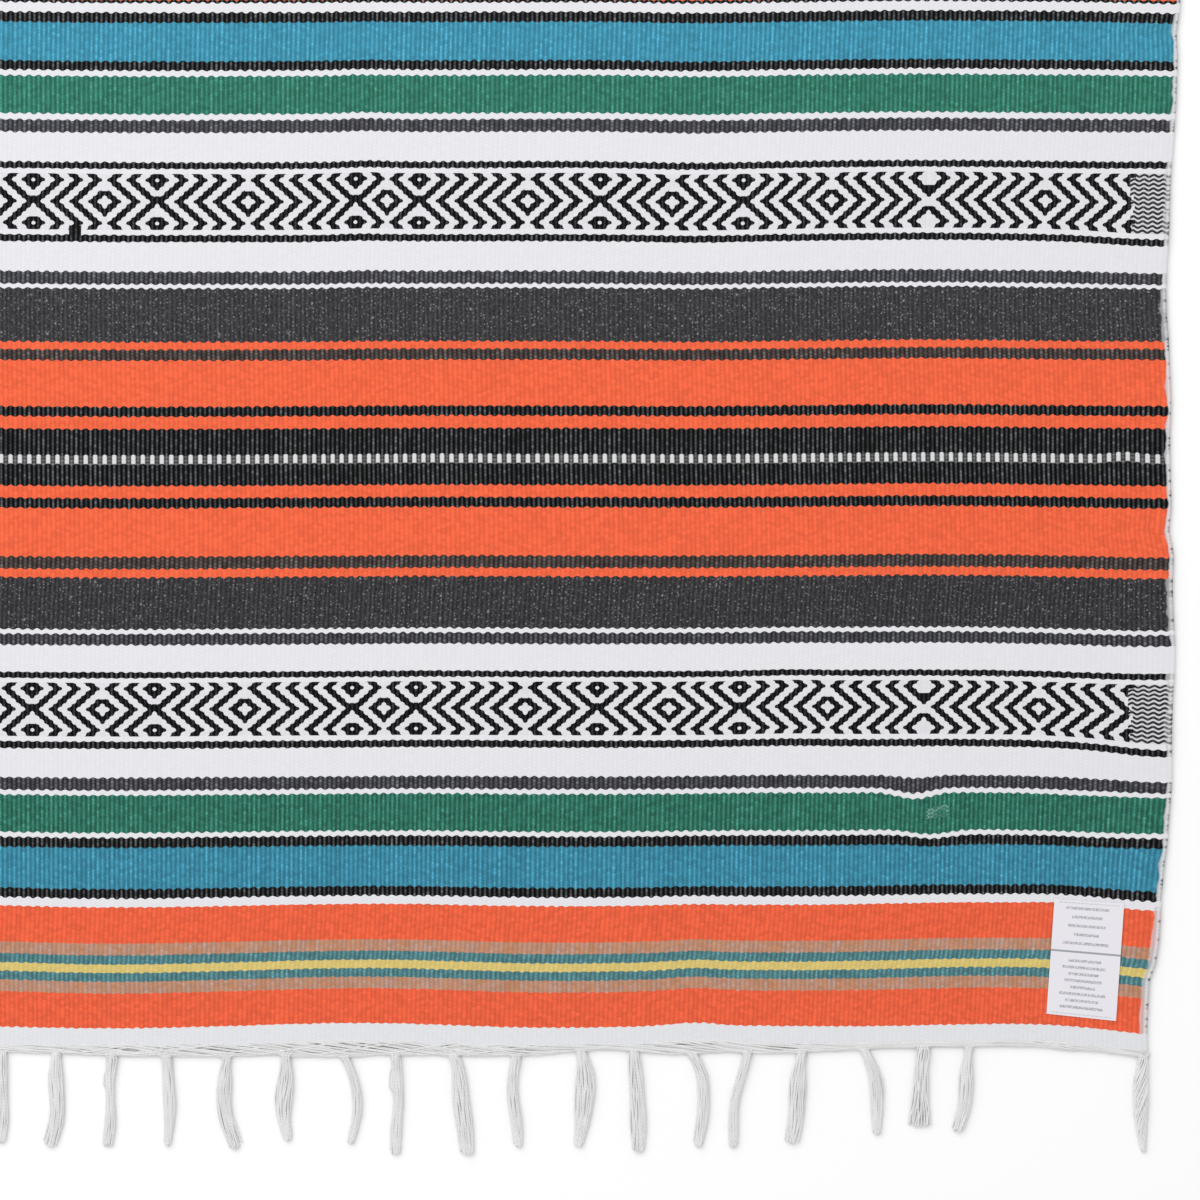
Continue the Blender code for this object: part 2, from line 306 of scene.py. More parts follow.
def cloth_web():
    """Closed bmesh of the web in counted places: x is half ribs, y is rows, z is 0 below and 1 above."""
    columns, rows = 2 * RIBS, UNDERSIDE_ROWS * ROWS_PER_UNDERSIDE_ROW
    count = Matrix.Diagonal((columns / 2, rows / 2, 1.0, 1.0)) @ Matrix.Translation((1.0, 1.0, 0.0))
    web = bmesh.new()
    bmesh.ops.create_grid(web, x_segments=columns, y_segments=UNDERSIDE_ROWS, size=1.0)
    rim = [edge for edge in web.edges if edge.is_boundary]
    sides = [edge for edge in rim if abs(edge.verts[0].co.y - edge.verts[1].co.y) > 1e-4]
    bmesh.ops.subdivide_edges(web, edges=sides, cuts=ROWS_PER_UNDERSIDE_ROW - 1)
    bmesh.ops.reverse_faces(web, faces=web.faces)
    above = bmesh.ops.create_grid(web, x_segments=columns, y_segments=rows, size=1.0)["verts"]
    bmesh.ops.translate(web, verts=above, vec=(0.0, 0.0, 1.0))
    rim = [edge for edge in web.edges if edge.is_boundary and edge.verts[0].co.z > 0.5]
    dropped = bmesh.ops.extrude_edge_only(web, edges=rim)["geom"]
    dropped = [part for part in dropped if isinstance(part, bmesh.types.BMVert)]
    bmesh.ops.translate(web, verts=dropped, vec=(0.0, 0.0, -1.0))
    bmesh.ops.transform(web, matrix=count, verts=web.verts)
    bmesh.ops.remove_doubles(web, verts=[vert for vert in web.verts if vert.co.z < 0.5], dist=0.01)
    bmesh.ops.recalc_face_normals(web, faces=web.faces)
    return web


def counted_order(place):
    """One number that puts counted places in the same order each run."""
    return place.x + 2e3 * place.y + 4e5 * place.z


def counted_mesh(web, name):
    """Mesh of a bmesh, its vertices' counted places as rows x, y, z, and each face corner's vertex."""
    web.verts.sort(key=lambda vert: counted_order(vert.co))
    web.edges.sort(key=lambda edge: counted_order(edge.verts[0].co + edge.verts[1].co))
    web.faces.sort(key=lambda face: counted_order(face.calc_center_median()))
    mesh = bpy.data.meshes.new(name)
    web.to_mesh(mesh)
    web.free()
    counted = np.zeros(len(mesh.vertices) * 3)
    mesh.vertices.foreach_get("co", counted)
    corner_vert = np.zeros(len(mesh.loops), int)
    mesh.loops.foreach_get("vertex_index", corner_vert)
    return mesh, counted.reshape(-1, 3), corner_vert


SHARP_ANGLE = math.radians(50)  # edges of a piece stay sharp past this


def laid_piece(mesh, x, y, z, material):
    """The piece of a counted mesh, with its vertices put in place and its material on."""
    mesh.vertices.foreach_set("co", np.stack([x, y, z], axis=1).ravel())
    mesh.shade_smooth()
    mesh.set_sharp_from_angle(angle=SHARP_ANGLE)
    mesh.materials.append(material)
    mesh.update()
    return new_object(mesh.name, mesh)


def vertex_mark(mesh, name, values):
    """Store one number, or three, for each vertex under a name that a material can read."""
    kind, field = ("FLOAT", "value") if values.ndim == 1 else ("FLOAT_VECTOR", "vector")
    mesh.attributes.new(name, kind, "POINT").data.foreach_set(field, values.astype(np.float32).ravel())


def turning_rib_marks(rib, turns):
    """For each vertex, 1 on the crest of a lower turn, an upper turn and the odd cross, and 0.5 beside it."""
    marks = np.zeros((len(rib), 3))
    heights = [height for _rib, height in turns]
    for number, (place, height) in enumerate(turns[1:-1], 1):
        kind = 1 if height > heights[number - 1] else 2 if place == ODD_CROSS else 0
        marks[:, kind] = np.maximum(marks[:, kind], np.clip(1.0 - np.abs(rib - place), 0.0, 1.0))
    return marks


def corner_map(mesh, name, u, v):
    """Make a UV map from two arrays with one number for each face corner."""
    places = np.stack([u, v], axis=1).astype(np.float32).ravel()
    mesh.uv_layers.new(name=name).data.foreach_set("uv", places)


# One colour block and one border are enough to paint the cloth: every block, both borders and both
# faces share them. The border takes the first part of the height of that painted sheet.
BORDER_SHARE = 0.115
BLOCK_SHARE = (0.13, 0.995)
SIDE_MARGIN = 0.003


def folded_places(mesh, rib, along):
    """Place of every face corner, 0 to 1 across and up a sheet that holds one block and one border."""
    corners = np.zeros(len(mesh.polygons), int)
    mesh.polygons.foreach_get("loop_total", corners)
    face = np.repeat(np.arange(len(corners)), corners)
    middle = (np.bincount(face, along) / corners)[face]
    length = WOVEN_LENGTH / MM
    block = np.floor((middle - FOLD_START) / BLOCK_LENGTH)
    in_block = (along - FOLD_START - block * BLOCK_LENGTH) / BLOCK_LENGTH
    in_border = np.minimum(along, length - along) / BORDER_DEPTH
    up = np.where(np.minimum(middle, length - middle) < BORDER_DEPTH, in_border * BORDER_SHARE,
                  BLOCK_SHARE[0] + in_block * (BLOCK_SHARE[1] - BLOCK_SHARE[0]))
    return SIDE_MARGIN + (1.0 - 2.0 * SIDE_MARGIN) * (rib - FIRST_RIB) / RIBS, up


# Bands of one colour block, from the row of dashes at its middle outwards. The far half was beaten
# a little more loosely than the near half: (yarn, edge in the near half, edge in the far half), mm
BLOCK_BANDS = (
    ("dashes", 2.7, 2.6), ("black", 15.5, 18.3), ("orange", 22.8, 25.7), ("black", 28.7, 31.5),
    ("orange", 57.6, 59.0), ("smoke", 64.8, 65.4), ("orange", 69.9, 69.9), ("charcoal", 100.7, 101.7),
    ("white", 103.4, 104.2), ("grey", 110.0, 111.6), ("white", 126.1, 129.3), ("chain", 129.7, 133.4),
    ("figured", 167.3, 172.7), ("chain", 171.5, 176.6), ("white", 188.8, 194.3), ("grey", 196.2, 201.7),
    ("white", 199.1, 205.3), ("green", 221.3, 227.8), ("white", 224.2, 231.2), ("black", 230.1, 236.7),
    ("blue", 254.4, 259.6), ("black", 260.0, 265.6), ("white", 265.4, 271.3), ("black", 267.2, 273.1),
    ("orange", 287.4, 295.4), ("tan", 293.9, 301.9), ("teal", 299.3, 307.6), ("yellow", 310.0, 320.0),
)
BLOCK_MIDDLE = 348.7           # the first block's dashes, from the near end, mm
BLOCK_LENGTH = 612.2
NEAR_HALF = 302.0
FOLD_START = 46.7              # the near border's yellow stripe, where one block ends and the next begins
# The border at each end of the weave, from the end inwards: (yarn, edge), mm
BORDER_BANDS = (
    ("cotton", 12.0), ("flame", 32.9), ("tan", 39.8), ("teal", 45.0), ("yellow", 50.0), ("teal", 55.4),
    ("tan", 62.3), ("flame", 83.6),
)
BORDER_DEPTH = 86.0
YARNS = {yarn: srgb(code) for yarn, code in (
    ("white", "E3E2E6"), ("cotton", "E0E1E4"), ("black", "0A0B0C"), ("orange", "F06744"), ("grey", "35353A"),
    ("smoke", "3B322F"), ("charcoal", "39383B"), ("green", "2D6A59"), ("blue", "39829B"), ("tan", "B68670"),
    ("teal", "4E7B80"), ("yellow", "D6C074"), ("flame", "EA6342"), ("dashes", "0A0B0C"), ("chain", "0A0B0C"),
    ("figured", "E3E2E6"),
)}
# Colours that show in and between those yarns, with a painted highlight and painted shade among them
TINTS = {name: srgb(code) for name, code in (
    ("warm tan", "C68452"), ("cool tan", "A99690"), ("dash valley", "181818"), ("dash grey", "5A5A5A"),
    ("dash white", "D8D8DA"), ("soft black", "303236"), ("pale fibre", "BDBDBB"), ("dark fibre", "151617"),
    ("shine", "DDE2E6"), ("bare warp", "A9CDC0"), ("shaded cord valley", "C2C2C4"), ("cord crest", "E2E2E4"),
    ("edge fleck", "1C1D20"),
)}
RIB_PITCH = 2.8                # mm
FLOAT_PITCH = 2.1              # along the warp between two picks that pass over the same rib, mm
TOOTH = 0.48                   # neighbouring ribs show a colour change this far before and after, mm
TOOTH_LESS_BY_FIGURE = 0.16    # mm
TOOTH_LESS_IN_BORDER = 0.20    # mm
UNEVEN = 0.3                   # single floats show it this much sooner or later, mm
TAN_MOTTLE = 0.55              # how far two unlike tans show in the tan yarn
FIGURED_ROW_PITCH = (2.454, 2.562)    # near half, far half, mm
FIGURED_FIRST_ROW = (-133.6, 168.5)   # row 0 from the block's middle, towards the far end, mm
FIGURED_ROWS = 13
FIGURED_REACH = (150.0, 26.0)  # middle of the band from the dashes, and half its depth with its lines, mm
MIDDLE_ROW = (FIGURED_ROWS - 1) / 2
TURN_ROW = 5.0                 # rows from the middle row to where the twill turns back
TWILL_REPEAT = 4.0             # rows from one black stroke to the next
EVEN_NUMBER = 1000.0           # added so that a remainder is never taken below 0
STROKE_HALF = 1.00             # half the width of a black stroke, in ribs
STROKE_DEPTH = 0.57            # half its depth, in rows
STROKE_TAPER = 0.09            # how much less deep it is one rib from its middle
STROKE_BEND = 2.4              # how late in its row a stroke steps to the side
DROPPED_PICKS = ((9,), (3,), (1, 7, 11))   # rows left white on a lower turn, an upper turn and the odd cross
ADDED_PICK = (5.12, 0.45)      # row made black on a lower turn: its middle, and half its depth
FILLED_PICKS = (3.5, 0.9)      # rows made black across the odd cross, as above
EYELET_RADIUS = 0.42           # of the hole over and under a lower turn, in ribs and rows
RAGGED = 1.6                   # ribs by which the figure's ends differ from row to row
# Each as (rib, half its width in ribs), (from the near end, half its depth), mm
WEAVING_FAULT = ((8.8, 1.3), (483.3, 4.4))
PULLED_PICK = ((193.5, 2.5), (139.8, 3.2))
# Flecks of the charcoal yarn: (mm apart, size as a share of that, share of the places left without)
HEATHER_FLECKS = ((2.0, 0.36, 0.42), (4.6, 0.23, 0.50))
FLECK_STRENGTH = 0.58


def feed(socket, value):
    """Give a node's input a number, a colour, or what another node puts out."""
    value = getattr(value, "socket", value)
    if isinstance(value, bpy.types.NodeSocket):
        socket.id_data.links.new(value, socket)
    else:
        socket.default_value = value


def add_node(tree, kind, inputs=None, **settings):
    """A node of one kind with its settings made and its inputs, by name or number, fed."""
    node = tree.nodes.new("ShaderNode" + kind)
    for name, setting in settings.items():
        setattr(node, name, setting)
    for place, value in (inputs or {}).items():
        feed(node.inputs[place], value)
    return node


def sign(operation, swapped=False):
    """What an amount does at one arithmetic sign: it makes that Math node."""
    def meet(self, other):
        return calc(operation, other, self) if swapped else calc(operation, self, other)
    return meet


class Amount:
    """A number that changes over a surface. A sum written with amounts becomes Math nodes."""
    __add__, __radd__ = sign("ADD"), sign("ADD", True)
    __sub__, __rsub__ = sign("SUBTRACT"), sign("SUBTRACT", True)
    __truediv__, __mod__, __pow__ = sign("DIVIDE"), sign("MODULO"), sign("POWER")
    __gt__, __lt__ = sign("GREATER_THAN"), sign("LESS_THAN")

    def __init__(self, socket):
        self.socket = socket

    def __mul__(self, other):
        return Product(self, other)

    def __abs__(self):
        return calc("ABSOLUTE", self)

    def __round__(self):
        return calc("ROUND", self)


class Product(Amount):
    """Two factors, made a node only when it is used, so that multiplying and adding takes one node."""

    def __init__(self, *factors):
        self.factors = factors

    def __add__(self, other):
        return calc("MULTIPLY_ADD", *self.factors, other)

    @functools.cached_property
    def socket(self):
        """What the product's own node puts out."""
        return calc("MULTIPLY", *self.factors).socket


def calc(operation, *values):
    """What one Math node makes of its values."""
    tree = next(value.socket.id_data for value in values if isinstance(value, Amount))
    return Amount(add_node(tree, "Math", dict(enumerate(values)), operation=operation).outputs[0])


def near(amount, middle, reach):
    """1 within reach of the middle, and 0 beyond."""
    return calc("COMPARE", amount, middle, reach)


def lower_of(one, other):
    """The lower of two amounts."""
    return calc("MINIMUM", one, other)


def higher_of(one, other):
    """The higher of two amounts."""
    return calc("MAXIMUM", one, other)


def ramp(amount, low, high):
    """0 below low, 1 above high, and a smooth step between."""
    inputs = {"Value": amount, "From Min": low, "From Max": high}
    node = add_node(amount.socket.id_data, "MapRange", inputs, interpolation_type="SMOOTHSTEP")
    return Amount(node.outputs["Result"])


def tint(share, under, over):
    """Mix of two colours: share 0 gives under, and share 1 gives over."""
    inputs = {0: share, 6: under, 7: over}
    return add_node(share.socket.id_data, "Mix", inputs, data_type="RGBA").outputs[2]


def chance(across, along, seed):
    """A number from 0 to 1 that is the same all over each cell of whole across and along."""
    tree = across.socket.id_data
    cell = add_node(tree, "CombineXYZ", {0: across, 1: along, 2: seed}).outputs[0]
    return Amount(add_node(tree, "TexWhiteNoise", {"Vector": cell}, noise_dimensions="3D").outputs["Value"])


def map_places(tree, name):
    """A UV map, and the amounts across and up it."""
    places = add_node(tree, "UVMap", uv_map=name).outputs["UV"]
    across, up, _none = add_node(tree, "SeparateXYZ", {0: places}).outputs
    return places, Amount(across), Amount(up)


def finish(shader, colour, height, strength, depth, looks):
    """Give a material its colour, its bumps of a strength and depth, and the looks it has all over."""
    bumps = {"Strength": strength, "Distance": depth, "Height": height}
    normal = add_node(shader.id_data, "Bump", bumps).outputs["Normal"]
    for name, value in {"Base Color": colour, "Normal": normal, **looks}.items():
        feed(shader.inputs[name], value)


def stripes(place, yarns, edges):
    """Colour across a run of stripes, and for each yarn a mask of where it shows."""
    colour, masks, before = YARNS[yarns[0]], {}, 1.0
    for yarn, next_yarn, edge in zip(yarns, yarns[1:], edges):
        past = place > edge
        colour = tint(past, colour, YARNS[next_yarn])
        within = before - past
        masks[yarn] = masks[yarn] + within if yarn in masks else within
        before = past
    return colour, masks


def inside_block(along):
    """Distance from the dashes of the colour block that a place is in, towards the far end, mm."""
    return calc("FRACT", (along - FOLD_START) / BLOCK_LENGTH) * BLOCK_LENGTH + -NEAR_HALF


def striped_weave():
    """Material of the web: stripes by distance along the warp, the figured band by rib and row."""
    material, tree, shader = new_material("striped_weave")
    weave, rib, along = map_places(tree, "weave")

    # Rib number, crest (1) to valley (0) across it, and the floats along it, staggered on odd ribs
    rib_number = round(rib)
    crest = calc("COSINE", rib * math.tau) * 0.5 + 0.5
    swing = calc("COSINE", rib * math.pi)
    odd = (rib_number + EVEN_NUMBER) % 2.0
    float_place = odd * 0.5 + along / FLOAT_PITCH
    float_number = calc("FLOOR", float_place)
    bead = calc("SINE", calc("FRACT", float_place) * math.pi)
    float_chance = chance(rib_number, float_number, 0.0)
    second_chance = chance(rib_number, float_number, 3.0)
    rib_chance = chance(rib_number, 0.0, 7.0)

    # Distance from the middle of the colour block, with the teeth that neighbouring ribs make
    near_end = lower_of(along, WOVEN_LENGTH / MM - along)
    plain_inside = inside_block(along)
    by_figure = near(abs(plain_inside), *FIGURED_REACH)
    tooth = (near_end < BORDER_DEPTH) * -TOOTH_LESS_IN_BORDER + (by_figure * -TOOTH_LESS_BY_FIGURE + TOOTH)
    toothed = swing * tooth + along + (float_chance * UNEVEN + -UNEVEN / 2)
    inside = inside_block(toothed)
    far_half = inside > 0.0

    def by_half(in_near, in_far):
        """One number in the near half of the block and another in the far half."""
        return far_half * (in_far - in_near) + in_near

    block_edges = [by_half(near_edge, far_edge) for _yarn, near_edge, far_edge in BLOCK_BANDS[:-1]]
    colour, bands = stripes(abs(inside), [row[0] for row in BLOCK_BANDS], block_edges)

    # The border at either end of the weave
    from_end = lower_of(toothed, WOVEN_LENGTH / MM - toothed)
    border_yarns = [row[0] for row in BORDER_BANDS] + ["white"]
    border, border_bands = stripes(from_end, border_yarns, [edge for _yarn, edge in BORDER_BANDS])
    in_border = from_end < BORDER_DEPTH
    in_block = 1.0 - in_border
    colour = tint(in_border, colour, border)
    tan = bands["tan"] * in_block + border_bands["tan"] * in_border
    mottle = float_chance * 0.5 + rib_chance * 0.5
    colour = tint(tan * TAN_MOTTLE, colour, tint(mottle, TINTS["warm tan"], TINTS["cool tan"]))

    # Pick-and-pick dashes at the block's middle: white over odd ribs, grey between
    lobes = abs(calc("COSINE", inside / (FLOAT_PITCH / math.pi)))
    white_share = ramp(lobes * 0.30 + swing, 0.45, -0.45)
    between = tint(ramp(lobes, 0.35, 0.75), TINTS["dash valley"], TINTS["dash grey"])
    colour = tint(bands["dashes"], colour, tint(white_share, between, TINTS["dash white"]))

    # Figured band: row of the pattern, then how far through its black-and-white step each rib is
    twill = Amount(add_node(tree, "Attribute", attribute_name="twill").outputs["Fac"])
    row_place = (by_half(*FIGURED_FIRST_ROW) - plain_inside) / by_half(*FIGURED_ROW_PITCH)
    row = round(row_place)
    in_row = swing * 0.07 + (row_place - row)
    from_middle_row = row - MIDDLE_ROW
    leaning = calc("SIGN", in_row) * ((abs(in_row) * 2.0) ** STROKE_BEND * 0.5)
    row_step = TURN_ROW - abs(TURN_ROW - abs(from_middle_row + leaning))
    step = twill - row_step + (EVEN_NUMBER + 0.5)
    off_stroke = abs(step % TWILL_REPEAT - 1.0)
    off_stroke = lower_of(off_stroke, TWILL_REPEAT - off_stroke)
    tapered = off_stroke ** 4.0 * -STROKE_TAPER + STROKE_DEPTH
    black = (off_stroke < STROKE_HALF) * (abs(in_row) < tapered)

    # Where the twill turns, single picks are dropped or added on the turning rib
    axes = add_node(tree, "Attribute", attribute_name="turning_rib").outputs["Vector"]
    axes = [Amount(axis) for axis in add_node(tree, "SeparateXYZ", {0: axes}).outputs]
    dropped = 0.0
    for axis, rows in zip(axes, DROPPED_PICKS):
        on_axis = axis > 0.34
        for number in rows:
            dropped = on_axis * near(row, number, 0.1) + dropped
    black = black * (1.0 - dropped)
    lower_turn, _upper_turn, odd_cross = axes
    added = (lower_turn > 0.5) * near(row_place, *ADDED_PICK)
    filled = (odd_cross > 0.02) * near(row_place, *FILLED_PICKS)
    black = higher_of(black, higher_of(added, filled))
    place_from_middle = abs(row_place - MIDDLE_ROW)
    eyelet = (lower_turn > 0.2) * near(place_from_middle, TURN_ROW, 0.66)
    from_hole = (1.0 - lower_turn) ** 2.0 + abs(place_from_middle - TURN_ROW) ** 2.0
    black = higher_of(black, eyelet * (from_hole > EYELET_RADIUS ** 2))

    # Beside the selvages the figure gives way to thin wavy lines
    turns = turning_ribs()
    ragged = chance(row, 0.0, 5.0) * RAGGED + -1.1
    past_turns = higher_of(rib - ragged > turns[-1][0], rib + ragged < turns[0][0])
    line = abs(swing * 0.15 + in_row) < 0.28
    black = past_turns * (line - black) + black
    in_figure = (abs(from_middle_row) < FIGURED_ROWS / 2) * bands["figured"]
    figure = black * in_figure
    soft = past_turns * in_figure * 0.14 + in_figure * (float_chance * 0.06 + 0.02)
    colour = tint(soft, colour, TINTS["soft black"])
    colour = tint(past_turns * (figure * -0.03) + figure, colour, YARNS["black"])
    plain = 1.0 - bands["figured"] * 0.7

    # A weaving fault joins the figured band to the line under it
    fault_rib, fault_place = WEAVING_FAULT
    colour = tint(near(rib, *fault_rib) * near(along, *fault_place), colour, YARNS["black"])

    # Pale flecks and cloudy shading of recycled fibre in the charcoal yarn
    greys = (bands["grey"] + bands["smoke"]) * in_block
    heather = bands["charcoal"] * in_block
    spread = {"Vector": weave, "Scale": (RIB_PITCH, 1.0, 1.0)}
    spread = add_node(tree, "Mapping", spread).outputs[0]
    cloud = {"Vector": spread, "Scale": 0.75, "Detail": 3.0, "Roughness": 0.75}
    cloud = Amount(add_node(tree, "TexNoise", cloud).outputs["Fac"])
    for pitch, size, rarity in HEATHER_FLECKS:
        fleck = {"Vector": spread, "Scale": 1.0 / pitch}
        fleck = add_node(tree, "TexVoronoi", fleck, voronoi_dimensions="2D").outputs
        draws = add_node(tree, "SeparateColor", {0: fleck["Color"]}).outputs
        away = Amount(draws[1]) * 0.10 + Amount(fleck["Distance"])
        spot = ramp(cloud * 0.45 + (away - 0.22), size, 0.05)
        share = spot * ramp(Amount(draws[0]), rarity, 1.0) * (heather * FLECK_STRENGTH)
        colour = tint(share, colour, TINTS["pale fibre"])
    dulled = ramp(cloud, 0.56, 0.36) * heather
    colour = tint(dulled * 0.55, colour, TINTS["dark fibre"])

    # The crest of each rib catches the light, broken where one float ends and the next begins. A
    # pale yarn hides it, a dyed one turns lighter and darker by it, and a black one shows grey ticks.
    red, green, blue = [Amount(part) for part in add_node(tree, "SeparateColor", {0: colour}).outputs]
    paleness = red * 0.21 + (green * 0.72 + blue * 0.07)
    tick = crest ** (greys * -1.2 + 2.6)
    evenness = greys * -0.35 + 0.55
    break_up = bead * (1.0 - evenness) + evenness
    varied = (float_chance ** 2.0 * 0.9 + 0.45) * (rib_chance * 0.8 + 0.55)
    shine = tick * break_up * varied
    swell = (1.0 - paleness) ** 4.0 * 0.95 + 0.04
    swell = swell * (heather * -0.4 + 1.0)
    swell = border_bands["yellow"] * in_border * 0.09 + swell
    lit = shine * (1.5 - red * 1.5) + (crest * 0.50 + -0.41)
    lit = lit + (second_chance * 0.64 + -0.32) + (cloud - 0.5)

    # Painted sheen: dyed and dark yarns painted lighter towards each block's far end, as light from that side
    not_red = (1.0 - red) ** 4.0
    painted_sheen = far_half * heather * 0.08 + ramp(inside, 30.0, 160.0) * 0.20
    painted_sheen_gain = painted_sheen * not_red * in_block + 1.0
    gain = {"Value": lit * swell + painted_sheen_gain, "Color": colour}
    colour = add_node(tree, "HueSaturation", gain).outputs["Color"]
    blackness = ramp(paleness, 0.10, 0.03) * plain
    smoke = bands["smoke"] * in_block
    strength = higher_of(heather, smoke * 0.25) * -0.145 + (greys * -0.035 + 0.155)
    strength = (bands["chain"] * -0.02 + strength) * blackness
    strength = higher_of(strength, not_red * 0.024 * (plain - heather))
    colour = tint(shine * (strength * painted_sheen_gain), colour, TINTS["shine"])

    # Where a pick was pulled near the right selvage, bits of the warp peep through between the ribs
    pulled_rib, pulled_place = PULLED_PICK
    peeping = bead ** 2.0 * (1.0 - crest) * near(rib, *pulled_rib) * near(along, *pulled_place)
    colour = tint(peeping * float_chance ** 0.7 * 0.85, colour, TINTS["bare warp"])

    # Outermost warps: white cord that the weft only half covers, with painted shade in its valleys
    from_selvage = lower_of(rib - FIRST_RIB, FIRST_RIB + RIBS - rib)
    drift = add_node(tree, "TexNoise", {"W": along, "Scale": 0.07}, noise_dimensions="1D")
    bare = (bands["figured"] + bands["charcoal"] + (bands["white"] + bands["chain"])) * in_block
    cord_width = Amount(drift.outputs["Fac"]) * 1.4 + (in_border * 0.55 + 0.15)
    cord_width = bare * 0.35 + cord_width
    cord = ramp(from_selvage - cord_width, 0.25, -0.15)
    hidden = bands["white"] * in_block + border_bands["cotton"] * in_border
    cord = cord * (hidden * -0.70 + 0.88 - ramp(from_selvage, 0.5, 1.7) * 0.40)
    carried = bands["figured"] * (float_chance > 0.45)
    cord = cord * (carried * -0.6 + 1.0)
    cord = cord * (1.0 - heather * 0.35 * second_chance)
    # Painted shade: the cord is painted grey in its valleys and where one float meets the next
    shaded_cord = tint(crest * (bead * 0.4 + 0.6), TINTS["shaded cord valley"], TINTS["cord crest"])
    colour = tint(cord, colour, shaded_cord)
    edge_fleck = (second_chance > 0.70) * (1.0 - hidden) * ramp(bead * -0.6 + from_selvage, 0.2, -0.3)
    colour = tint(edge_fleck * (float_chance * 0.6 + 0.2), colour, TINTS["edge fleck"])

    # Each float is a low bead across its rib
    finish(shader, colour, bead * (crest * 0.7 + 0.3), 0.35, 0.3 * MM, {
        "Roughness": 0.92, "Specular IOR Level": 0.10, "Sheen Weight": 0.02, "Sheen Roughness": 0.5,
    })
    return material


def woven_cloth():
    """The serape's web, shaped, mapped and shaded."""
    mesh, counted, corner_vert = counted_mesh(cloth_web(), "serape_cloth")
    stations = row_stations()
    from_near = np.interp(counted[:, 1], np.arange(len(stations)), stations)
    x, y = cloth_plan(counted[:, 0] / (2 * RIBS), from_near)
    above = counted[:, 2] > 0.5
    crest = np.where(np.rint(counted[:, 0]) % 2 > 0.5, RIB_RISE, -RIB_RISE)
    z = np.where(above, cloth_face(x, y) + crest, 0.0)
    x = np.where(above, x, x * UNDER_SHARE)

    rib = FIRST_RIB + counted[:, 0] / 2
    turns = turning_ribs()
    vertex_mark(mesh, "twill", np.interp(rib, [turn[0] for turn in turns], [turn[1] for turn in turns]))
    vertex_mark(mesh, "turning_rib", turning_rib_marks(rib, turns))
    corner_map(mesh, "weave", rib[corner_vert], from_near[corner_vert])
    corner_map(mesh, "OFBake", *folded_places(mesh, rib[corner_vert], from_near[corner_vert]))
    return laid_piece(mesh, x, y, z, striped_weave())


serape_cloth = woven_cloth()
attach(serape_cloth, "root")
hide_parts("woven_cloth")

# ---------------------------------------------------------------------------
# Fringe at both ends. Cotton warp ends leave the weave between the last picks,
# slant sideways into a flat plied heading, and hang from it in knotted tassels
# about 34 mm apart. Each visible yarn is the doubled warp of one rib.
# ---------------------------------------------------------------------------
YARN_RADIUS = 0.50             # mm
TASSEL_HEIGHT = 4.0            # mm
TASSEL_PITCH = 34.0            # of the tassels that repeat over the left half, mm
QUARTERS = (0.0, 0.25, 0.5, 0.75, 1.0)

# Outer edge of the heading: (from the right selvage, past the nominal end of the weave), mm
HEADING_EDGE = (
    (0, 7.6), (28, 7.2), (36, 6.4), (43, 4.2), (50, 3.4), (64, 4.0), (71, 3.4), (78, 1.8), (86, 0.7),
    (97, 1.2), (114, 0.3), (122, 1.8), (136, 1.2), (143, 0.6), (164, 2.2), (178, 2.2), (200, 3.5),
    (221, 4.7), (243, 5.7), (264, 4.7), (280, 5.2), (293, 6.3), (300, 5.2), (307, 6.4), (316, 4.8),
    (330, 3.2), (343, 2.9), (364, 4.1), (378, 6.4), (393, 7.0), (428, 6.9), (436, 6.3), (450, 6.9),
    (471, 6.3), (500, 8.1), (507, 7.0), (518, 8.1), (530, 6.9), (557, 6.9), (578, 7.5), (593, 6.9),
    (607, 7.5), (621, 6.3), (650, 6.3), (664, 4.7), (678, 4.7), (686, 5.2), (695, 4.0), (702, 4.2),
)
HEADING_FOLD = 702.0           # the left half's heading mirrors the right half's about this place

